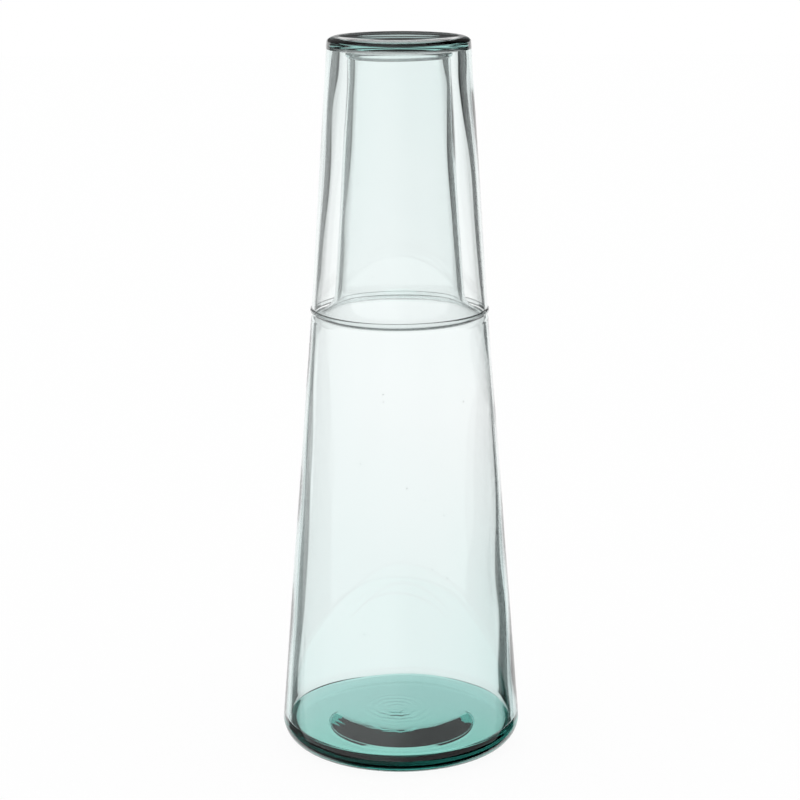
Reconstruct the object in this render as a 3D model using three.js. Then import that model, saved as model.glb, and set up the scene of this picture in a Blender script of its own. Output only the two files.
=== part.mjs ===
// A bedside water carafe in blown recycled glass, covered by the tumbler that is drunk from.
// Both pieces are turned forms: each is one closed profile, revolved about the upright axis.
// Millimetres, +Z up, origin on the table under the middle of the carafe.
import * as THREE from "three";

// Carafe, from the table up
const baseDiameter = 95; // at the heel, the widest place
const heelHeight = 8.6; // table to the widest place
const heelReach = 8; // how far the heel curls in under the wall
const hollowDiameter = 57; // the hollow under the base, inside the foot ring
const hollowDepth = 2.8; // at the hollow's edge, where it is deepest
const sagDiameter = 20; // flat middle of the hollow's roof, which sags towards the table
const sagHeight = 0.4; // table to the flat middle
const floorThickness = 8.1; // glass over the flat middle
const floorEdgeHeight = 8.2; // inside floor beside the wall
const floorFillet = 2.5; // inside corner between floor and wall
const heelWall = 2.8; // wall thickness just above the floor
const shoulderWall = 1.1; // wall thickness from the shoulder up to the lip
const bodyHeight = 174.4; // table to the outer end of the ledge
const shoulderRound = 3;
const ledgeWidth = 0.6; // sloping ledge between the shoulder's round and the cove
const ledgeSlope = THREE.MathUtils.degToRad(15); // rise of the ledge towards the neck
const coveRadius = 9; // hollow curve from the ledge up into the neck
const neckRootDiameter = 50; // where the cove ends
const neckRootLean = THREE.MathUtils.degToRad(4.5); // the neck leans in this much at its root
const neckLength = 100.6; // ledge to the top of the lip
const mouthDiameter = 40.6; // over the lip
const lipThickness = 2.6; // the fire-polished bead round the mouth

// Tumbler, as it stands on its own foot
const tumblerFloor = 3.5; // table to the inside floor, beside the wall
const floorDip = 0.6; // the inside floor is this much lower in the middle
const footReach = 2.6; // how far the base's rounded corner curls in under the wall
const footRise = 1.95; // and how far it climbs up the wall
const footPuntDiameter = 45.4; // shallow hollow under the foot
const footPuntDepth = 1.45;
const footWall = 2.45; // wall thickness at the base
const rimWall = 1.1; // wall thickness just inside the rim
const rimThickness = 2.2; // the fire-polished bead that is drunk from
const bowlFillet = 1.3; // inside corner between floor and wall

// How the two pieces meet
const rimProud = 0.2; // the rim stands this far outside the shoulder
const seatGap = 0.3; // between the rim's bead and the shoulder that carries it
const headroom = 1.5; // lip to the tumbler's floor, beside its wall
const lipClearance = 4.55; // lip to the tumbler's wall, all round

// Facets
const turns = 48; // flats round each piece
const curveSteps = 4; // steps along a curve, twice that along an arc

const rightAngle = Math.PI / 2;

// A point on a circle of the profile, in (radius, height).
function onCircle(centre, radius, angle) {
  return new THREE.Vector2(Math.cos(angle), Math.sin(angle)).multiplyScalar(radius).add(centre);
}

// Angle at which a line from a point below touches a circle on its outer side.
function tangentAngle(point, centre, radius) {
  const away = point.clone().sub(centre);
  return Math.atan2(away.y, away.x) + Math.acos(radius / away.length());
}

// Revolves a profile about +Z. Points closer than the least step are dropped, so that no sliver is made.
function revolve(path) {
  const leastStep = 0.02;
  const points = path.getPoints(curveSteps);
  const kept = points.filter((p, i) => i === 0 || p.distanceTo(points[i - 1]) > leastStep);
  return new THREE.LatheGeometry(kept, turns).rotateX(rightAngle);
}

// A bead on a thinner wall: its circle, and how far below the middle each side of the wall runs into it.
function beadOn(wall, thickness, outerRadius, topHeight) {
  const radius = thickness / 2;
  const centre = new THREE.Vector2(outerRadius - radius, topHeight - radius);
  const dip = Math.acos(wall / 2 / radius);
  return { radius, centre, dip };
}

// The shoulder, ledge and cove are shared by the carafe's two faces and by the tumbler's seat.
const neckRootRadius = neckRootDiameter / 2;
const ledgeNormal = rightAngle - ledgeSlope;
const coveStart = Math.PI + ledgeNormal;
const coveEnd = Math.PI + neckRootLean;
const ledgeOuter = new THREE.Vector2(
  neckRootRadius +
    coveRadius * (Math.cos(neckRootLean) - Math.cos(ledgeNormal)) +
    ledgeWidth * Math.cos(ledgeSlope),
  bodyHeight,
);
const ledgeInner = ledgeOuter
  .clone()
  .add(new THREE.Vector2(-Math.cos(ledgeSlope), Math.sin(ledgeSlope)).multiplyScalar(ledgeWidth));
const shoulderCentre = onCircle(ledgeOuter, -shoulderRound, ledgeNormal);
const coveCentre = onCircle(ledgeInner, coveRadius, ledgeNormal);
const shoulderRadius = shoulderCentre.x + shoulderRound;
const lipHeight = bodyHeight + neckLength;

// One side of the neck: from the cove up to the lip, leaning in and then straightening.
function neckSide(coveFace, lipEnd) {
  const root = onCircle(coveCentre, coveFace, coveEnd);
  const halfRise = (lipEnd.y - root.y) / 2;
  const bend = new THREE.Vector2(root.x - halfRise * Math.tan(neckRootLean), root.y + halfRise);
  return { root, bend, lipEnd };
}

function carafeProfile() {
  const baseRadius = baseDiameter / 2;
  const footRadius = baseRadius - heelReach;
  const heelTop = new THREE.Vector2(baseRadius, heelHeight);
  const lip = beadOn(shoulderWall, lipThickness, mouthDiameter / 2, lipHeight);
  const outerNeck = neckSide(coveRadius, onCircle(lip.centre, lip.radius, -lip.dip));
  const innerNeck = neckSide(coveRadius + shoulderWall, onCircle(lip.centre, lip.radius, Math.PI + lip.dip));
  const outerTouch = tangentAngle(heelTop, shoulderCentre, shoulderRound);

  // The inside wall thickens from the shoulder down to the floor.
  const innerRound = shoulderRound - shoulderWall;
  const wallFoot = new THREE.Vector2(baseRadius - heelWall, floorEdgeHeight);
  const innerTouch = tangentAngle(wallFoot, shoulderCentre, innerRound);
  const wallTop = onCircle(shoulderCentre, innerRound, innerTouch);
  const upWall = wallTop.clone().sub(wallFoot).normalize();
  const filletTop = wallFoot.clone().addScaledVector(upWall, floorFillet);
  const filletEnd = new THREE.Vector2(wallFoot.x - floorFillet, floorEdgeHeight);
  const floorMiddle = sagHeight + floorThickness;
  const sagRadius = sagDiameter / 2;
  const hollowRadius = hollowDiameter / 2;

  const path = new THREE.Path();
  path.moveTo(0, sagHeight);
  path.lineTo(sagRadius, sagHeight);
  path.quadraticCurveTo((sagRadius + hollowRadius) / 2, sagHeight, hollowRadius, hollowDepth);
  path.lineTo(hollowRadius, 0);
  path.lineTo(footRadius, 0);
  path.absellipse(footRadius, heelHeight, heelReach, heelHeight, -rightAngle, 0, false);
  path.absarc(shoulderCentre.x, shoulderCentre.y, shoulderRound, outerTouch, ledgeNormal, false);
  path.absarc(coveCentre.x, coveCentre.y, coveRadius, coveStart, coveEnd, true);
  path.quadraticCurveTo(outerNeck.bend.x, outerNeck.bend.y, outerNeck.lipEnd.x, outerNeck.lipEnd.y);
  path.absarc(lip.centre.x, lip.centre.y, lip.radius, -lip.dip, Math.PI + lip.dip, false);
  path.quadraticCurveTo(innerNeck.bend.x, innerNeck.bend.y, innerNeck.root.x, innerNeck.root.y);
  path.absarc(coveCentre.x, coveCentre.y, coveRadius + shoulderWall, coveEnd, coveStart, false);
  path.absarc(shoulderCentre.x, shoulderCentre.y, innerRound, ledgeNormal, innerTouch, true);
  path.lineTo(filletTop.x, filletTop.y);
  path.quadraticCurveTo(wallFoot.x, wallFoot.y, filletEnd.x, filletEnd.y);
  path.quadraticCurveTo(filletEnd.x / 2, floorMiddle, 0, floorMiddle);
  return path;
}

// The rim's bead lies on the shoulder's round, a seat gap away from it.
const rimRadius = shoulderRadius + rimProud;
const rimBeadRadius = rimThickness / 2;
const beadReach = shoulderRound + seatGap + rimBeadRadius;
const beadOverhang = rimRadius - rimBeadRadius - shoulderCentre.x;
const rimBeadHeight = shoulderCentre.y + Math.sqrt(beadReach ** 2 - beadOverhang ** 2);
const topHeight = lipHeight + headroom + tumblerFloor;
const tumblerHeight = topHeight - rimBeadHeight + rimBeadRadius;

function tumblerProfile() {
  const footRadius = mouthDiameter / 2 + lipClearance + footWall;
  const rim = beadOn(rimWall, rimThickness, rimRadius, tumblerHeight);
  const outerEnd = onCircle(rim.centre, rim.radius, -rim.dip);
  const innerEnd = onCircle(rim.centre, rim.radius, Math.PI + rim.dip);

  // The corner is a quarter of an ellipse, which stops where it leans as the wall does.
  const footCentre = new THREE.Vector2(footRadius - footReach, footRise);
  const wallLean = (outerEnd.x - footRadius) / (outerEnd.y - footRise);
  const footTouch = -Math.atan((wallLean * footRise) / footReach);
  const wallFoot = new THREE.Vector2(footRadius - footWall, tumblerFloor);
  const upWall = innerEnd.clone().sub(wallFoot).normalize();
  const filletTop = wallFoot.clone().addScaledVector(upWall, bowlFillet);
  const filletEnd = new THREE.Vector2(wallFoot.x - bowlFillet, tumblerFloor);
  const floorMiddle = tumblerFloor - floorDip;

  const path = new THREE.Path();
  path.moveTo(0, footPuntDepth);
  path.quadraticCurveTo(footPuntDiameter / 4, footPuntDepth, footPuntDiameter / 2, 0);
  path.lineTo(footCentre.x, 0);
  path.absellipse(footCentre.x, footCentre.y, footReach, footRise, -rightAngle, footTouch, false);
  path.lineTo(outerEnd.x, outerEnd.y);
  path.absarc(rim.centre.x, rim.centre.y, rim.radius, -rim.dip, Math.PI + rim.dip, false);
  path.lineTo(filletTop.x, filletTop.y);
  path.quadraticCurveTo(wallFoot.x, wallFoot.y, filletEnd.x, filletEnd.y);
  path.quadraticCurveTo(filletEnd.x / 2, floorMiddle, 0, floorMiddle);
  return path;
}

// Clear glass with a faint green-blue tint.
function glass(colour) {
  return new THREE.MeshStandardMaterial({
    color: colour,
    roughness: 0.05,
    metalness: 0,
    transparent: true,
    opacity: 0.4,
  });
}

const carafe = new THREE.Mesh(revolve(carafeProfile()), glass("#b9dcd6"));
carafe.name = "carafe";

const tumbler = new THREE.Mesh(revolve(tumblerProfile()), glass("#c3e0da"));
tumbler.name = "tumbler";

// The tumbler covers the neck upside down.
const cover = new THREE.Group();
cover.rotation.x = Math.PI;
cover.position.z = topHeight;
cover.add(tumbler);

const bedsideCarafe = new THREE.Group();
bedsideCarafe.add(carafe, cover);

export default bedsideCarafe;
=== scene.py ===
import math

import bpy
import numpy as np
from mathutils import Matrix


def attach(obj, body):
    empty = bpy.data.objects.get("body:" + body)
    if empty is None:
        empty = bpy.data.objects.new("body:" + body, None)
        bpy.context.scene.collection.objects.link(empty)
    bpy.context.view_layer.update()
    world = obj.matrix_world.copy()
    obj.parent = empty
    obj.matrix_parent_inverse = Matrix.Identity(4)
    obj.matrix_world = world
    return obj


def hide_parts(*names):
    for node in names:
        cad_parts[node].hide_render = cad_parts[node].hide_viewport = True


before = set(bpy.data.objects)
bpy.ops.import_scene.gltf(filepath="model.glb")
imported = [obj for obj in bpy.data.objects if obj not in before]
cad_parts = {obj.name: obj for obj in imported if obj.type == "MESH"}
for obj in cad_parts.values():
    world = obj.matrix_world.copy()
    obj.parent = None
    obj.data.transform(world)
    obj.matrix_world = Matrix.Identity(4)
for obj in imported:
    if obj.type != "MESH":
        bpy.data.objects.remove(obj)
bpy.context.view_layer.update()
print("frame loaded:", sorted(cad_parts))

mm = 0.001


# Profiles. Every point is (radius, height) in metres.

# A straight run of points from a to b.
def straight(a, b, count):
    t = np.linspace(0, 1, count)[:, None]
    return (1 - t) * np.asarray(a) + t * np.asarray(b)


# Part of an ellipse: centre plus (reach cos, rise sin) of an angle that runs from start to end.
def curl(centre, reach, rise, start, end, count):
    angle = np.linspace(start, end, count)
    return np.asarray(centre) + np.stack([reach * np.cos(angle), rise * np.sin(angle)], 1)


# A circle's arc is an ellipse whose reach and rise are the same.
def arc(centre, radius, start, end, count):
    return curl(centre, radius, radius, start, end, count)


# A bend from a to b that leaves a towards the corner and reaches b from it (a quadratic curve).
def bend(a, corner, b, count):
    t = np.linspace(0, 1, count)[:, None]
    return (1 - t) ** 2 * np.asarray(a) + 2 * t * (1 - t) * np.asarray(corner) + t ** 2 * np.asarray(b)


# The point of a circle at one angle.
def onCircle(centre, radius, angle):
    return np.asarray(centre) + radius * np.array([math.cos(angle), math.sin(angle)])


# The angle at which a line from a point below touches a circle on its outer side.
def touchAngle(point, centre, radius):
    away = np.asarray(point) - np.asarray(centre)
    return math.atan2(away[1], away[0]) + math.acos(radius / np.linalg.norm(away))


# Adds a point close to a line's last one, a twentieth of the step before it, so a crease there stays narrow.
def tight(line):
    return np.insert(line, -1, 0.95 * line[-1] + 0.05 * line[-2], axis=0)


# Joins named stretches into one line, leaving out points that lie on the one before.
def join(*stretches):
    leastStep = 0.001 * mm
    points = np.vstack([stretch for face, stretch in stretches])
    faces = np.concatenate([[face] * len(stretch) for face, stretch in stretches])
    step = np.linalg.norm(np.diff(points, axis=0), axis=1)
    kept = np.concatenate([[True], step > leastStep])
    return points[kept], faces[kept]


# 0 below low, 1 above high, and a smooth step (3t^2 - 2t^3) between them.
def rise(value, low, high):
    t = np.clip((value - low) / (high - low), 0, 1)
    return t * t * (3 - 2 * t)


# Slow waves in blown glass: a sum of cosines, each of some turns round the axis plus a slope along it, over the
# root of their count.
def slowWaves(angle, height, size, seed):
    count, mostTurns, steepest = 7, 5, 130  # the slope is in radians per metre
    chance = np.random.default_rng(seed)
    total = np.zeros(np.broadcast(angle, height).shape)
    for wave in range(count):
        strength = chance.normal()
        turns = chance.integers(1, mostTurns + 1)
        slope = chance.uniform(-steepest, steepest)
        start = chance.uniform(0, 2 * math.pi)
        total += strength * np.cos(turns * angle + slope * height + start)
    return size * total / math.sqrt(count)


carafe = {
    "baseRadius": 47.5 * mm,
    "heelHeight": 8.6 * mm,
    "heelReach": 8 * mm,
    "floorMiddle": 8.5 * mm,
    "floorEdgeHeight": 8.2 * mm,
    "floorFillet": 2.5 * mm,
    "heelWall": 2.8 * mm,
    "wall": 1.1 * mm,
    "bodyHeight": 174.4 * mm,
    "shoulderRound": 3 * mm,
    "ledgeWidth": 0.6 * mm,
    "ledgeSlope": math.radians(15),
    "coveRadius": 9 * mm,
    "neckRootRadius": 25 * mm,
    "neckRootLean": math.radians(4.5),
    "neckLength": 100.6 * mm,
    "mouthRadius": 20.3 * mm,
    "lipThickness": 2.6 * mm,
    "turns": 160,
    # slow waves, and the heights over which they come in and go out
    "outerWave": 0.04 * mm,
    "innerWave": 0.1 * mm,
    "waveSeeds": (3, 5),
    "wallWavesIn": (9 * mm, 30 * mm),
    "wallWavesOut": (150 * mm, 168 * mm),
    "neckWavesIn": (195 * mm, 215 * mm),
    "neckWavesOut": (14 * mm, 4 * mm),  # below the lip's top
    # the inside is a little off centre low down, and the wall is thinner higher up
    "boreShift": (-0.25 * mm, 0.1 * mm),
    "boreStraight": (20 * mm, 130 * mm),  # heights over which the shift goes out
    "boreFloor": (36 * mm, 42 * mm),  # radii over which it comes in on the floor
    "wallThinned": (0.02, 0.45),  # share that the wall lacks on the left and on the right
    "thinnedIn": (60 * mm, 130 * mm),
    "thinnedOut": (135 * mm, 168 * mm),
    # hollow under the base, inside the foot ring
    "hollowRadius": 28.5 * mm,
    "hollowEdge": 0.1 * mm,  # width of the bevel between it and the foot ring
    "hollowShift": (0.3 * mm, -3.6 * mm),
    "footFollows": (30 * mm, 38 * mm),  # radii over which the foot ring stops following the shift
    "roofLine": -9.8 * mm,  # the roof lifts in front of this line
    "roofBow": 19 * mm,  # which bows back at the sides
    "roofReach": 6.5 * mm,
    "roofSlope": 0.073,
    "roofRim": 0.05,  # share that the roof lacks at the bevel
    "roofRidge": 0.012 * mm,
    "ridgeTurns": 9,
    "roofStreak": 0.01 * mm,
    "roofPitch": 4 * mm,
    "streakShares": (0.3, 1.8),  # everywhere, and more on the left
    "streakLeft": (0.1, 0.8),  # leftward part of the bearing
    "marksIn": (-4 * mm, 4 * mm),  # distances past the line
    "openFront": (-0.5, -0.15),  # forward part of the bearing, from the flat back to the open front
    "flatBack": 0.75,  # share of the radius from which the back is flat
    # rings left in the floor by the blowing
    "rippleMiddle": (-1.2 * mm, 5 * mm),
    "rippleReach": 20 * mm,
    "rippleMargin": 2 * mm,
    "rippleIn": (1 * mm, 3 * mm),
    "rippleOut": 0.3,  # share of the reach from which they fade
    "ripplePitch": 3.4 * mm,
    "rippleHeight": 0.055 * mm,
    "rippleForward": 0.4,  # they are this much higher in front
    "lipWave": 0.12 * mm,
    "lipWaveIn": (14 * mm, 2 * mm),  # below the lip's top
    "seedCount": 26,
    "seedHeights": (30 * mm, 160 * mm),
    "seedDraw": 21,
}

tumbler = {
    "floor": 3.5 * mm,
    "floorSag": 0.6 * mm,
    "footReach": 2.6 * mm,  # the base's outer corner, inwards and along the side
    "footRise": 1.95 * mm,
    "puntRadius": 22.7 * mm,
    "puntDepth": 1.45 * mm,
    "footWall": 2.45 * mm,
    "rimWall": 1.1 * mm,
    "rimThickness": 2.2 * mm,
    "bowlFillet": 1.3 * mm,
    "rimProud": 0.2 * mm,
    "seatGap": 0.3 * mm,
    "headroom": 1.5 * mm,
    "lipClearance": 4.55 * mm,
    "turns": 160,
    "outerWave": 0.05 * mm,
    "innerWave": 0.08 * mm,
    "waveSeeds": (11, 13),
    "wallWavesIn": (178 * mm, 190 * mm),
    "wallWavesOut": (16 * mm, 5 * mm),  # below the top
    "rimWave": 0.1 * mm,
    "rimWaveOut": (178 * mm, 186 * mm),
    "rimShares": (0.7, 0.3),  # of two turns and of five
    "seedCount": 10,
    "seedHeights": (190 * mm, 265 * mm),
    "seedDraw": 22,
}


# The shoulder's round and the cove above it: their centres follow from the neck's root, out along the ledge.
def shoulderParts(c):
    ledgeNormal = math.pi / 2 - c["ledgeSlope"]
    ledgeOuter = np.array([
        c["neckRootRadius"]
        + c["coveRadius"] * (math.cos(c["neckRootLean"]) - math.cos(ledgeNormal))
        + c["ledgeWidth"] * math.cos(c["ledgeSlope"]),
        c["bodyHeight"],
    ])
    along = np.array([-math.cos(c["ledgeSlope"]), math.sin(c["ledgeSlope"])])
    ledgeInner = ledgeOuter + c["ledgeWidth"] * along
    return {
        "ledgeNormal": ledgeNormal,
        "shoulderCentre": onCircle(ledgeOuter, -c["shoulderRound"], ledgeNormal),
        "coveCentre": onCircle(ledgeInner, c["coveRadius"], ledgeNormal),
        "coveStart": math.pi + ledgeNormal,
        "coveEnd": math.pi + c["neckRootLean"],
    }


# A fire-polished bead on a thinner wall: its circle, and the angle below level where the wall runs into it.
def beadOn(wall, thickness, outerRadius, top):
    radius = thickness / 2
    return np.array([outerRadius - radius, top - radius]), radius, math.acos(wall / thickness)


# The carafe's outline, from the middle of the hollow, out and up over the lip, and down to the middle of the
# floor. Each stretch ends with its count of points.
def carafeOutline(c):
    s = shoulderParts(c)
    footRadius = c["baseRadius"] - c["heelReach"]
    heelCentre = np.array([footRadius, c["heelHeight"]])
    heelTop = np.array([c["baseRadius"], c["heelHeight"]])
    hollowIn, hollowOut = c["hollowRadius"] - c["hollowEdge"], c["hollowRadius"] + c["hollowEdge"]
    lipCentre, lipRadius, dip = beadOn(
        c["wall"], c["lipThickness"], c["mouthRadius"], c["bodyHeight"] + c["neckLength"])
    outerLip = onCircle(lipCentre, lipRadius, -dip)
    innerLip = onCircle(lipCentre, lipRadius, math.pi + dip)

    def neckSide(face, lipEnd, count):
        root = onCircle(s["coveCentre"], face, s["coveEnd"])
        halfRise = (lipEnd[1] - root[1]) / 2
        corner = root + np.array([-halfRise * math.tan(c["neckRootLean"]), halfRise])
        return tight(bend(root, corner, lipEnd, count))

    innerRound = c["shoulderRound"] - c["wall"]
    wallFoot = np.array([c["baseRadius"] - c["heelWall"], c["floorEdgeHeight"]])
    outerTouch = touchAngle(heelTop, s["shoulderCentre"], c["shoulderRound"])
    innerTouch = touchAngle(wallFoot, s["shoulderCentre"], innerRound)
    wallTop = onCircle(s["shoulderCentre"], innerRound, innerTouch)
    upWall = (wallTop - wallFoot) / np.linalg.norm(wallTop - wallFoot)
    filletTop = wallFoot + c["floorFillet"] * upWall
    filletEnd = wallFoot - np.array([c["floorFillet"], 0])
    rippleEdge = np.array([c["rippleReach"] + c["rippleMargin"], c["floorMiddle"]])
    return join(
        ("hollow", straight((0, 0), (hollowIn, 0), 84)),
        ("hollow", straight((hollowIn, 0), (c["hollowRadius"], 0), 3)),
        ("foot", straight((c["hollowRadius"], c["hollowEdge"]), (hollowOut, 0), 3)),
        ("foot", straight((hollowOut, 0), (footRadius, 0), 8)),
        ("outside", curl(heelCentre, c["heelReach"], c["heelHeight"], -math.pi / 2, 0, 28)),
        ("outside", straight(heelTop, onCircle(s["shoulderCentre"], c["shoulderRound"], outerTouch), 44)),
        ("outside", arc(s["shoulderCentre"], c["shoulderRound"], outerTouch, s["ledgeNormal"], 16)),
        ("outside", arc(s["coveCentre"], c["coveRadius"], s["coveStart"], s["coveEnd"], 18)),
        ("outside", neckSide(c["coveRadius"], outerLip, 34)),
        ("lip", arc(lipCentre, lipRadius, -dip, math.pi + dip, 26)),
        ("inside", neckSide(c["coveRadius"] + c["wall"], innerLip, 34)[::-1]),
        ("inside", arc(s["coveCentre"], c["coveRadius"] + c["wall"], s["coveEnd"], s["coveStart"], 18)),
        ("inside", arc(s["shoulderCentre"], innerRound, s["ledgeNormal"], innerTouch, 12)),
        ("inside", straight(wallTop, filletTop, 44)),
        ("floor", bend(filletTop, wallFoot, filletEnd, 16)),
        ("floor", bend(filletEnd, ((filletEnd[0] + rippleEdge[0]) / 2, rippleEdge[1]), rippleEdge, 20)),
        ("floor", straight(rippleEdge, (0, c["floorMiddle"]), 100)),
    )


# The tumbler's outline as it stands over the neck: from the middle of its foot, on top, out and down to the
# rim, round the bead and up inside to the middle of its floor. Each stretch ends with its count of points.
def tumblerOutline(t, c):
    s = shoulderParts(c)
    lipTop = c["bodyHeight"] + c["neckLength"]
    top = lipTop + t["headroom"] + t["floor"]
    rimRadius = s["shoulderCentre"][0] + c["shoulderRound"] + t["rimProud"]
    beadRadius = t["rimThickness"] / 2
    reach = c["shoulderRound"] + t["seatGap"] + beadRadius
    overhang = rimRadius - beadRadius - s["shoulderCentre"][0]
    beadHeight = s["shoulderCentre"][1] + math.sqrt(reach ** 2 - overhang ** 2)
    height = top - beadHeight + beadRadius
    footRadius = c["mouthRadius"] + t["lipClearance"] + t["footWall"]
    rimCentre, rimBead, dip = beadOn(t["rimWall"], t["rimThickness"], rimRadius, height)
    outerEnd = onCircle(rimCentre, rimBead, -dip)
    innerEnd = onCircle(rimCentre, rimBead, math.pi + dip)
    footCentre = np.array([footRadius - t["footReach"], t["footRise"]])
    lean = (outerEnd[0] - footRadius) / (outerEnd[1] - t["footRise"])
    footTouch = -math.atan(lean * t["footRise"] / t["footReach"])
    foot = curl(footCentre, t["footReach"], t["footRise"], -math.pi / 2, footTouch, 30)
    wallFoot = np.array([footRadius - t["footWall"], t["floor"]])
    upWall = (innerEnd - wallFoot) / np.linalg.norm(innerEnd - wallFoot)
    filletTop = wallFoot + t["bowlFillet"] * upWall
    filletEnd = wallFoot - np.array([t["bowlFillet"], 0])
    floorMiddle = t["floor"] - t["floorSag"]
    points, faces = join(
        ("foot", bend((0, t["puntDepth"]), (t["puntRadius"] / 2, t["puntDepth"]), (t["puntRadius"], 0), 44)),
        ("foot", straight((t["puntRadius"], 0), (footCentre[0], 0), 5)),
        ("outside", foot),
        ("outside", tight(straight(foot[-1], outerEnd, 60))),
        ("rim", arc(rimCentre, rimBead, -dip, math.pi + dip, 28)),
        ("inside", tight(straight(filletTop, innerEnd, 60))[::-1]),
        ("floor", bend(filletTop, wallFoot, filletEnd, 24)),
        ("floor", bend(filletEnd, (filletEnd[0] / 2, floorMiddle), (0, floorMiddle), 40)),
    )
    return np.stack([points[:, 0], top - points[:, 1]], 1), faces


# A turned surface takes the outline's point number u and an angle v round the axis to
# (radius cos v, radius sin v, height).
def turnedGrid(outline, turns):
    angle = np.arange(turns) * (2 * math.pi / turns)
    radius, height = outline[:, :1], outline[:, 1:]
    return np.stack([radius * np.cos(angle), radius * np.sin(angle), np.repeat(height, turns, 1)], 2), angle


# Moves points away from the axis by a distance for each.
def pushOut(grid, angle, distance):
    grid[..., 0] += distance * np.cos(angle)
    grid[..., 1] += distance * np.sin(angle)


# Moves points sideways, each by a share of one offset in x and y.
def shiftBy(grid, offset, share):
    grid[..., 0] += offset[0] * share
    grid[..., 1] += offset[1] * share


# The walls get slow waves, which fade out at the heel, the seat and the lip. Low down the inside is shifted off
# centre. Higher up it moves out by a share of the wall that follows the cosine of the bearing.
def waveWalls(grid, angle, outline, on, c):
    radius, height = outline[:, :1], outline[:, 1:]
    lipTop = c["bodyHeight"] + c["neckLength"]
    neckEnd = [lipTop - below for below in c["neckWavesOut"]]
    wall = rise(height, *c["wallWavesIn"]) * (1 - rise(height, *c["wallWavesOut"]))
    neck = rise(height, *c["neckWavesIn"]) * (1 - rise(height, *neckEnd))
    outerSeed, innerSeed = c["waveSeeds"]
    outer = slowWaves(angle, height, c["outerWave"], outerSeed) * (wall + neck)
    inner = slowWaves(angle, height, c["innerWave"], innerSeed) * (wall + neck)
    pushOut(grid, angle, np.where(on["outside"], outer, 0) + np.where(on["inside"], inner, 0))
    low = np.where(on["inside"], 1 - rise(height, *c["boreStraight"]), 0)
    low = np.where(on["floor"], rise(radius, *c["boreFloor"]), low)
    shiftBy(grid, c["boreShift"], low)
    plain = np.interp(height, [c["floorEdgeHeight"], c["bodyHeight"]], [c["heelWall"], c["wall"]])
    left, right = c["wallThinned"]
    thinned = plain * ((left + right) / 2 + (right - left) / 2 * np.cos(angle))
    above = rise(height, *c["thinnedIn"]) * (1 - rise(height, *c["thinnedOut"]))
    pushOut(grid, angle, np.where(on["inside"], thinned * above, 0))


# The hollow's roof climbs in front of a line that is bowed as a parabola, by the logarithm of 1 + exp of the
# distance past the line. It has ridges, a cosine of some turns, and streaks, a sine of that distance whose
# phase drifts with the bearing. It is flat at the back, where the hollow has no edge. Then the hollow is
# shifted.
def liftRoof(grid, angle, outline, on, c):
    radius = outline[:, :1]
    hollow = np.where(on["hollow"], 1.0, 0) + np.where(on["foot"], 1 - rise(radius, *c["footFollows"]), 0)
    ahead = c["roofLine"] + c["roofBow"] * (grid[..., 0] / c["hollowRadius"]) ** 2 - grid[..., 1]
    roof = c["roofSlope"] * c["roofReach"] * np.log1p(np.exp(2 * ahead / c["roofReach"]))
    streaks = np.sin(2 * math.pi * ahead / c["roofPitch"] + 2 * np.sin(angle + 1) + 1.5 * np.sin(3 * angle))
    everywhere, more = c["streakShares"]
    strength = everywhere + more * rise(-np.cos(angle), *c["streakLeft"])
    marks = c["roofRidge"] * np.cos(c["ridgeTurns"] * angle + 0.6) + c["roofStreak"] * streaks * strength
    roof += marks * rise(ahead, *c["marksIn"])
    roof *= 1 - c["roofRim"] * rise(radius, c["hollowRadius"] - c["hollowEdge"], c["hollowRadius"])
    front = rise(-np.sin(angle), *c["openFront"])
    roof *= 1 - (1 - front) * rise(radius, c["flatBack"] * c["hollowRadius"], c["hollowRadius"])
    grid[..., 2] = np.where(on["hollow"], roof, grid[..., 2] * np.where(on["foot"], front, 1))
    shiftBy(grid, c["hollowShift"], hollow)


# The floor gets rings, a sine of the distance from their middle whose phase drifts with the bearing.
def ringFloor(grid, angle, on, c):
    away = np.hypot(grid[..., 0] - c["rippleMiddle"][0], grid[..., 1] - c["rippleMiddle"][1])
    outwards = 1 - rise(away, c["rippleOut"] * c["rippleReach"], c["rippleReach"])
    fade = outwards * rise(away, *c["rippleIn"])
    wobble = 0.5 * np.sin(7 * angle + away / c["ripplePitch"])
    drift = 1.2 * np.sin(angle + 0.8) + 0.7 * np.sin(2 * angle) + wobble
    rings = np.sin(2 * math.pi * away / c["ripplePitch"] + drift)
    forward = 1 - c["rippleForward"] * np.sin(angle)
    grid[..., 2] += np.where(on["floor"], c["rippleHeight"] * rings * fade * forward, 0)


# The carafe as blown: uneven walls, hollow and floor, and a lip that rises and falls with a cosine of two
# turns.
def blowCarafe(grid, angle, outline, faces, c):
    on = {face: (faces == face)[:, None] for face in np.unique(faces)}
    waveWalls(grid, angle, outline, on, c)
    liftRoof(grid, angle, outline, on, c)
    ringFloor(grid, angle, on, c)
    lipTop = c["bodyHeight"] + c["neckLength"]
    lipStart = [lipTop - below for below in c["lipWaveIn"]]
    lip = rise(outline[:, 1:], *lipStart) * ~on["floor"]
    grid[..., 2] += c["lipWave"] * np.cos(2 * angle + 1) * lip


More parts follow.
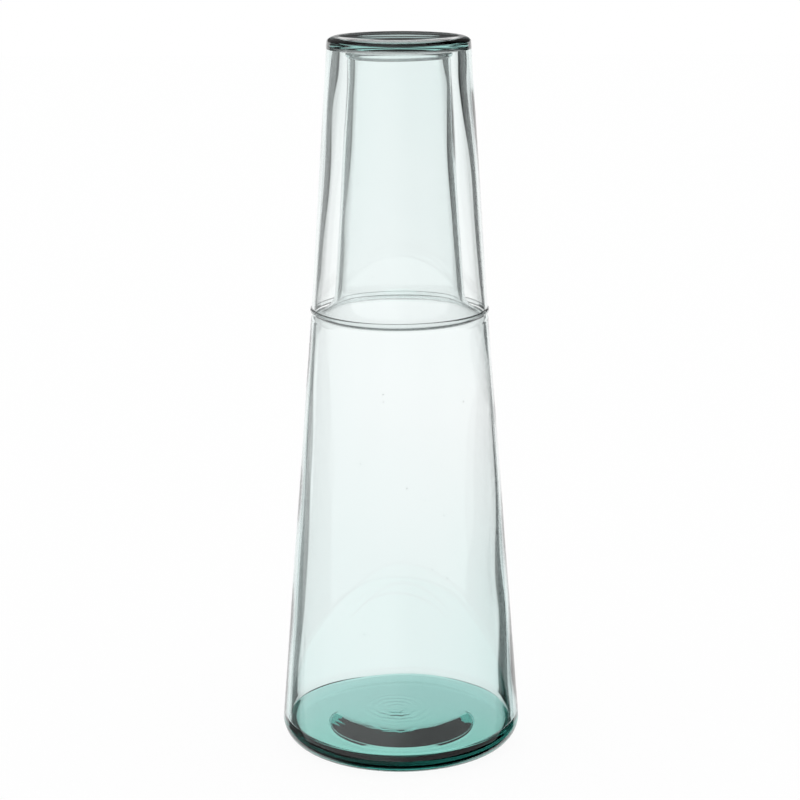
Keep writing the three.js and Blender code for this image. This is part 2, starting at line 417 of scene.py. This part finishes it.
# The tumbler as blown: slow waves in its walls, and a rim that rises and falls with cosines of two and five
# turns.
def blowTumbler(grid, angle, outline, faces, t):
    height = outline[:, 1:]
    on = {face: (faces == face)[:, None] for face in np.unique(faces)}
    wallEnd = [height.max() - below for below in t["wallWavesOut"]]
    wall = rise(height, *t["wallWavesIn"]) * (1 - rise(height, *wallEnd))
    outerSeed, innerSeed = t["waveSeeds"]
    outer = slowWaves(angle, height, t["outerWave"], outerSeed) * wall
    inner = slowWaves(angle, height, t["innerWave"], innerSeed) * wall
    pushOut(grid, angle, np.where(on["outside"], outer, 0) + np.where(on["inside"], inner, 0))
    rim = 1 - rise(height, *t["rimWaveOut"])
    two, five = t["rimShares"]
    grid[..., 2] += t["rimWave"] * (two * np.cos(2 * angle + 0.5) + five * np.cos(5 * angle)) * rim


# Faces of a closed grid: quads between its rows, and at each end a fan to one more point on the axis.
def closedFaces(rows, turns):
    low = (np.arange(rows - 1) * turns)[:, None]
    here = np.arange(turns)[None, :]
    after = (here + 1) % turns
    quads = np.stack([low + here, low + after, low + turns + after, low + turns + here], 2).reshape(-1, 4)
    first, last, lastRow = rows * turns, rows * turns + 1, (rows - 1) * turns
    fanIn = np.stack([np.full(turns, first), after[0], here[0]], 1)
    fanOut = np.stack([np.full(turns, last), lastRow + here[0], lastRow + after[0]], 1)
    return [quads, fanIn, fanOut]


# Seeds: small air bubbles halfway through the wall. Each is a ball (sin a cos b, sin a sin b, cos a), drawn out
# along the height, and takes up a share of the wall at most.
def seedBalls(outline, faces, spots, finish):
    outside, inside = outline[faces == "outside"], outline[faces == "inside"]
    outside, inside = outside[outside[:, 1].argsort()], inside[inside[:, 1].argsort()]
    bearing, height, scale = np.asarray(spots).T
    far = np.interp(height, outside[:, 1], outside[:, 0])
    near = np.interp(height, inside[:, 1], inside[:, 0])
    middle = np.stack([(far + near) / 2 * np.cos(bearing), (far + near) / 2 * np.sin(bearing), height], 1)
    rows, turns = 5, 8
    a = np.arange(1, rows + 1)[:, None] * math.pi / (rows + 1)
    b = np.arange(turns)[None, :] * 2 * math.pi / turns
    ball = np.stack([np.sin(a) * np.cos(b), np.sin(a) * np.sin(b), np.repeat(np.cos(a), turns, 1)], 2)
    ball = np.vstack([ball.reshape(-1, 3), [[0, 0, 1], [0, 0, -1]]]) * (1, 1, finish["seedStretch"])
    radius = np.minimum(finish["seedSize"] * scale, finish["seedShare"] * (far - near))
    points = middle[:, None, :] + radius[:, None, None] * ball[None]
    starts = (np.arange(len(height)) * len(ball))[:, None, None]
    blocks = [(block[None] + starts).reshape(-1, block.shape[1]) for block in closedFaces(rows, turns)]
    return points.reshape(-1, 3), blocks


# Puts a turned piece and its seeds into one mesh. Every face looks out into the air.
def glassPiece(name, grid, flip, seeds):
    ends = np.array([grid[0].mean(0), grid[-1].mean(0)])
    rings = grid[1:-1]
    points = np.vstack([rings.reshape(-1, 3), ends])
    blocks = closedFaces(len(rings), rings.shape[1])
    seedPoints, seedBlocks = seeds
    faces = [f for block in blocks for f in (block[:, ::-1] if flip else block).tolist()]
    faces += [f for block in seedBlocks for f in (block + len(points)).tolist()]
    mesh = bpy.data.meshes.new(name)
    mesh.from_pydata(np.vstack([points, seedPoints]).tolist(), [], faces)
    mesh.polygons.foreach_set("use_smooth", np.ones(len(mesh.polygons), bool))
    mesh.update()
    piece = bpy.data.objects.new(name, mesh)
    bpy.context.scene.collection.objects.link(piece)
    return piece


# Seeds scattered over a piece's wall: each one's bearing, height and size are even random draws.
def scatterSeeds(piece, smallest):
    chance = np.random.default_rng(piece["seedDraw"])
    bearing = chance.uniform(-math.pi, math.pi, piece["seedCount"])
    height = chance.uniform(*piece["seedHeights"], piece["seedCount"])
    scale = chance.uniform(smallest, 1, piece["seedCount"])
    return np.stack([bearing, height, scale], 1)


glassFinish = {
    "ior": 1.51,
    "absorbed": (0.034, 0.012, 0.014),  # share of red, green and blue lost per millimetre
    "densityOver": 1.05,
    "cordSize": 60,  # waves per metre of the faint cords in the surface
    "cordStretch": 0.15,
    "cordDepth": 0.02 * mm,
    "seedSize": 0.2 * mm,
    "seedSmallest": 0.4,  # share of the size
    "seedStretch": 1.6,
    "seedShare": 0.3,  # most of the wall that a seed's radius takes up
}
paleFinish = {**glassFinish, "absorbed": (0.02, 0.007, 0.0085)}


# A material's or the world's own nodes, cleared.
def emptyTree(holder):
    holder.use_nodes = True
    holder.node_tree.nodes.clear()
    return holder.node_tree


# Clear glass whose tint comes from the length of the way through it, with faint drawn-out cords in its surface.
# The density is a little above the largest share lost, and each channel's colour is what it keeps of that.
def makeGlass(name, finish):
    glass = bpy.data.materials.new(name)
    tree = emptyTree(glass)
    output = tree.nodes.new("ShaderNodeOutputMaterial")
    shell = tree.nodes.new("ShaderNodeBsdfPrincipled")
    shell.inputs["Base Color"].default_value = (1, 1, 1, 1)
    shell.inputs["Roughness"].default_value = 0
    shell.inputs["IOR"].default_value = finish["ior"]
    shell.inputs["Transmission Weight"].default_value = 1
    drawn = tree.nodes.new("ShaderNodeMapping")
    drawn.inputs["Scale"].default_value = (1, 1, finish["cordStretch"])
    cords = tree.nodes.new("ShaderNodeTexNoise")
    cords.inputs["Scale"].default_value = finish["cordSize"]
    cords.inputs["Detail"].default_value = 1
    bump = tree.nodes.new("ShaderNodeBump")
    bump.inputs["Strength"].default_value = 1
    bump.inputs["Distance"].default_value = finish["cordDepth"]
    tint = tree.nodes.new("ShaderNodeVolumeAbsorption")
    perMetre = np.array(finish["absorbed"]) / mm
    density = float(perMetre.max() * finish["densityOver"])
    tint.inputs["Color"].default_value = (*(1 - perMetre / density), 1)
    tint.inputs["Density"].default_value = density
    tree.links.new(tree.nodes.new("ShaderNodeTexCoord").outputs["Object"], drawn.inputs["Vector"])
    tree.links.new(drawn.outputs["Vector"], cords.inputs["Vector"])
    tree.links.new(cords.outputs[0], bump.inputs["Height"])
    tree.links.new(bump.outputs["Normal"], shell.inputs["Normal"])
    tree.links.new(shell.outputs["BSDF"], output.inputs["Surface"])
    tree.links.new(tint.outputs["Volume"], output.inputs["Volume"])
    return glass


outline, faces = carafeOutline(carafe)
grid, angle = turnedGrid(outline, carafe["turns"])
blowCarafe(grid, angle, outline, faces, carafe)
spots = scatterSeeds(carafe, glassFinish["seedSmallest"])
carafePiece = glassPiece("carafe_glass", grid, False, seedBalls(outline, faces, spots, glassFinish))
carafePiece.data.materials.append(makeGlass("carafeGlass", glassFinish))
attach(carafePiece, "carafe")
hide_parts("carafe")
print("carafe blown:", len(carafePiece.data.polygons), "faces")

outline, faces = tumblerOutline(tumbler, carafe)
grid, angle = turnedGrid(outline, tumbler["turns"])
blowTumbler(grid, angle, outline, faces, tumbler)
spots = scatterSeeds(tumbler, paleFinish["seedSmallest"])
tumblerPiece = glassPiece("tumbler_glass", grid, True, seedBalls(outline, faces, spots, paleFinish))
tumblerPiece.data.materials.append(makeGlass("tumblerGlass", paleFinish))
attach(tumblerPiece, "tumbler")
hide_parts("tumbler")
print("tumbler blown:", len(tumblerPiece.data.polygons), "faces")


studio = {
    "floorSize": 6.0,
    "floorDrop": 0.2 * mm,  # the sheets lie this far under the foot ring
    "floorWhite": 0.9,
    "seenWhite": 0.93,  # share of plain white in the floor that the camera sees, so a soft shadow stays
    "skyLight": 1.1,
    # the table under the glass, painted as a glow: light that came down through the glass, shaded in front and
    # lit at the back
    "spotRadius": 49 * mm,
    "spotSides": 64,
    "shadeToLightReach": (-40 * mm, 30 * mm),  # front to back, over which the painted shade in front turns to painted light at the back
    "spotShadedFront": (0.4, 0.8, 0.71),  # painted light that has come down through the base once, in shade at the front
    # painted light at the back of the table under the glass, more lit there
    "spotLitBack": (0.6, 0.85, 0.82),
    # the room seen through the glass
    "sideBlend": (-0.3, 0.3),  # sideways part of a direction, from the left's levels to the right's
    "panelCount": 8,
    "openCosine": (-0.12, 0.03),  # cosine of the panels' turns, from a gap to a panel
    "gapLevel": (0.2, 0.0),  # brightness of the gaps on the left and on the right
    "panelTop": (0.12, 0.2),  # upward part of a direction, from the panels to the dark above
    "ceiling": (0.46, 0.56),  # and from there to a pale ceiling
    "ceilingLevel": 0.35,
    "panelFade": (-0.38, -0.12),  # from the slightly greyer foot of the panels up
    "panelLevels": (0.99, 1.05),
    # the room mirrored in the glass
    "mirrorBack": (0.87, 0.91),  # backward part of a direction, from the dim strip to the back wall
    "mirrorLeft": 0.02,  # the left side mirrors more of that wall
    "mirrorFront": (0.76, 0.82),  # and from the rest of the room to the dim strip
    "mirrorSides": (1.0, 0.6),  # the room is dimmer on the right
    "mirrorMiddle": -0.2,  # upward part of a direction where the dim strip is narrowest
    "mirrorWiden": (0.6, 3.5),  # how fast its two sides spread above and below
    "mirrorTop": (0.06, 0.1),  # from the back wall to the dark above
    "mirrorFoot": (-0.93, -0.8),  # dark straight below, where the glass shades the table
    "footLevel": 0.1,
    "darkTop": 0.08,
    "cameraPlace": (0, -0.855, 0.351),
    "cameraPitch": 0.2432,  # below level, in radians
    "cameraRoll": math.radians(-0.2),
    "lens": 101.2,
    "sensor": 36.0,
    "nearest": 10 * mm,  # where the camera starts to see
}


# One arithmetic node. An input is another node's socket or a plain number.
def sumNode(tree, operation, *values):
    node = tree.nodes.new("ShaderNodeMath")
    node.operation = operation
    for socket, value in zip(node.inputs, values):
        if isinstance(value, bpy.types.NodeSocket):
            tree.links.new(value, socket)
        else:
            socket.default_value = value
    return node.outputs[0]


# A smooth change from one level to another as a value runs between two limits.
def rampNode(tree, value, limits, levels):
    node = tree.nodes.new("ShaderNodeMapRange")
    node.interpolation_type = "SMOOTHSTEP"
    tree.links.new(value, node.inputs["Value"])
    for name, number in zip(("From Min", "From Max"), limits):
        node.inputs[name].default_value = number
    for name, level in zip(("To Min", "To Max"), levels):
        if isinstance(level, bpy.types.NodeSocket):
            tree.links.new(level, node.inputs[name])
        else:
            node.inputs[name].default_value = level
    return node.outputs["Result"]


# A matt white sheet, seen by the camera as nearly plain white.
def floorPaint(s):
    paint = bpy.data.materials.new("floorPaint")
    tree = emptyTree(paint)
    output = tree.nodes.new("ShaderNodeOutputMaterial")
    path = tree.nodes.new("ShaderNodeLightPath")
    matt = tree.nodes.new("ShaderNodeBsdfDiffuse")
    matt.inputs["Color"].default_value = (s["floorWhite"],) * 3 + (1,)
    white = tree.nodes.new("ShaderNodeEmission")
    mix = tree.nodes.new("ShaderNodeMixShader")
    seen = sumNode(tree, "MULTIPLY", path.outputs["Is Camera Ray"], s["seenWhite"])
    tree.links.new(seen, mix.inputs["Fac"])
    tree.links.new(matt.outputs["BSDF"], mix.inputs[1])
    tree.links.new(white.outputs["Emission"], mix.inputs[2])
    tree.links.new(mix.outputs["Shader"], output.inputs["Surface"])
    return paint


# The table under the glass, as seen through it: a glow of painted light that came down through the glass,
# changing smoothly from painted shade in front to painted light at the back.
def paintedSpotLight(s):
    paint = bpy.data.materials.new("paintedSpotLight")
    tree = emptyTree(paint)
    output = tree.nodes.new("ShaderNodeOutputMaterial")
    # Painted light: the disc glows with the light and shade that the glass throws on the table, and is no lamp.
    glow = tree.nodes.new("ShaderNodeEmission")
    place = tree.nodes.new("ShaderNodeSeparateXYZ")
    tint = tree.nodes.new("ShaderNodeMixRGB")
    tint.inputs["Color1"].default_value = (*s["spotShadedFront"], 1)
    tint.inputs["Color2"].default_value = (*s["spotLitBack"], 1)
    tree.links.new(tree.nodes.new("ShaderNodeTexCoord").outputs["Object"], place.inputs[0])
    tree.links.new(rampNode(tree, place.outputs["Y"], s["shadeToLightReach"], (0.0, 1.0)), tint.inputs["Fac"])
    tree.links.new(tint.outputs["Color"], glow.inputs["Color"])
    tree.links.new(glow.outputs["Emission"], output.inputs["Surface"])
    return paint


# A square sheet, and under the glass a round one that only light through the glass sees, which glows with
# painted light and shade.
def addFloor(s):
    square = s["floorSize"] / 2 * np.array([(-1, -1), (1, -1), (1, 1), (-1, 1)])
    bearing = np.arange(s["spotSides"]) * (2 * math.pi / s["spotSides"])
    circle = s["spotRadius"] * np.stack([np.cos(bearing), np.sin(bearing)], 1)
    made = []
    for name, outline, paint in (("floor", square, floorPaint(s)), ("restingSpotGlow", circle, paintedSpotLight(s))):
        points = np.column_stack([outline, np.full(len(outline), -s["floorDrop"])])
        mesh = bpy.data.meshes.new(name)
        mesh.from_pydata(points.tolist(), [], [list(range(len(points)))])
        mesh.materials.append(paint)
        sheet = bpy.data.objects.new(name, mesh)
        bpy.context.scene.collection.objects.link(sheet)
        made.append(sheet)
    floor, spot = made
    floor.visible_transmission = floor.visible_glossy = False
    spot.visible_camera = spot.visible_diffuse = spot.visible_glossy = spot.visible_shadow = False


# The room. The camera sees white. Light that comes straight through the glass sees white panels all round, with
# gaps that draw its edges, dark above them, and then a pale ceiling. Light mirrored in the glass sees a white
# back wall that ends in the dark above, a dim strip on either side of it that is narrowest a little below
# level, the rest of the room, and a dark place straight below.
def addWorld(s):
    world = bpy.data.worlds.new("studio")
    bpy.context.scene.world = world
    tree = emptyTree(world)
    output = tree.nodes.new("ShaderNodeOutputWorld")
    path = tree.nodes.new("ShaderNodeLightPath")
    place = tree.nodes.new("ShaderNodeSeparateXYZ")
    tree.links.new(tree.nodes.new("ShaderNodeTexCoord").outputs["Generated"], place.inputs[0])
    x, y, z = place.outputs
    leastLevel = 1e-4
    squares = [sumNode(tree, "MULTIPLY", part, part) for part in (x, y)]
    level = sumNode(tree, "SQRT", sumNode(tree, "ADD", *squares))
    level = sumNode(tree, "MAXIMUM", level, leastLevel)
    sideways = sumNode(tree, "DIVIDE", x, level)
    backward = sumNode(tree, "DIVIDE", y, level)
    gap = rampNode(tree, sideways, s["sideBlend"], s["gapLevel"])

    turns = sumNode(tree, "MULTIPLY", sumNode(tree, "ARCTAN2", y, x), s["panelCount"])
    panels = rampNode(tree, sumNode(tree, "COSINE", turns), s["openCosine"], (gap, 1.0))
    panels = sumNode(tree, "MULTIPLY", panels, rampNode(tree, z, s["panelTop"], (1.0, s["darkTop"])))
    panels = sumNode(tree, "MAXIMUM", panels, rampNode(tree, z, s["ceiling"], (0.0, s["ceilingLevel"])))
    panels = sumNode(tree, "MULTIPLY", panels, rampNode(tree, z, s["panelFade"], s["panelLevels"]))

    below = sumNode(tree, "MINIMUM", z, 0.0)
    fold = sumNode(tree, "ABSOLUTE", sumNode(tree, "SUBTRACT", below, s["mirrorMiddle"]))
    behind, before = (
        sumNode(tree, "ADD", backward, sumNode(tree, "MULTIPLY", fold, spread)) for spread in s["mirrorWiden"])
    behind = sumNode(tree, "ADD", behind, rampNode(tree, sideways, s["sideBlend"], (s["mirrorLeft"], 0.0)))
    sides = rampNode(tree, sideways, s["sideBlend"], s["mirrorSides"])
    backWall = sumNode(tree, "MULTIPLY", rampNode(tree, behind, s["mirrorBack"], (gap, 1.0)),
                       rampNode(tree, z, s["mirrorTop"], (1.0, s["darkTop"])))
    mirrored = sumNode(tree, "MAXIMUM", backWall, rampNode(tree, before, s["mirrorFront"], (sides, gap)))
    mirrored = sumNode(tree, "MULTIPLY", mirrored, rampNode(tree, z, s["mirrorFoot"], (s["footLevel"], 1.0)))

    wasMirrored = sumNode(tree, "GREATER_THAN", path.outputs["Glossy Depth"], 0.5)
    wasScattered = sumNode(tree, "GREATER_THAN", path.outputs["Diffuse Depth"], 0.5)

    # one value where a switch is 0 and another where it is 1: no (1 - switch) + yes switch
    def choose(switch, no, yes):
        return sumNode(tree, "ADD", sumNode(tree, "MULTIPLY", no, sumNode(tree, "SUBTRACT", 1.0, switch)),
                       sumNode(tree, "MULTIPLY", yes, switch))

    strength = choose(wasMirrored, panels, mirrored)
    strength = choose(wasScattered, strength, s["skyLight"])
    strength = choose(path.outputs["Is Camera Ray"], strength, 1.0)
    back = tree.nodes.new("ShaderNodeBackground")
    back.inputs["Color"].default_value = (1, 1, 1, 1)
    tree.links.new(strength, back.inputs["Strength"])
    tree.links.new(back.outputs["Background"], output.inputs["Surface"])


# The photograph's camera: pitched down from level, then rolled about its own line of sight.
def addCamera(s):
    data = bpy.data.cameras.new("camera")
    data.lens = s["lens"]
    data.sensor_width = s["sensor"]
    data.clip_start = s["nearest"]
    camera = bpy.data.objects.new("camera", data)
    bpy.context.scene.collection.objects.link(camera)
    tilt = Matrix.Rotation(math.pi / 2 - s["cameraPitch"], 4, "X")
    roll = Matrix.Rotation(s["cameraRoll"], 4, "Z")
    camera.matrix_world = Matrix.Translation(s["cameraPlace"]) @ tilt @ roll
    bpy.context.scene.camera = camera


addFloor(studio)
addWorld(studio)
addCamera(studio)
bpy.context.scene.view_settings.view_transform = "Standard"
print("studio set")
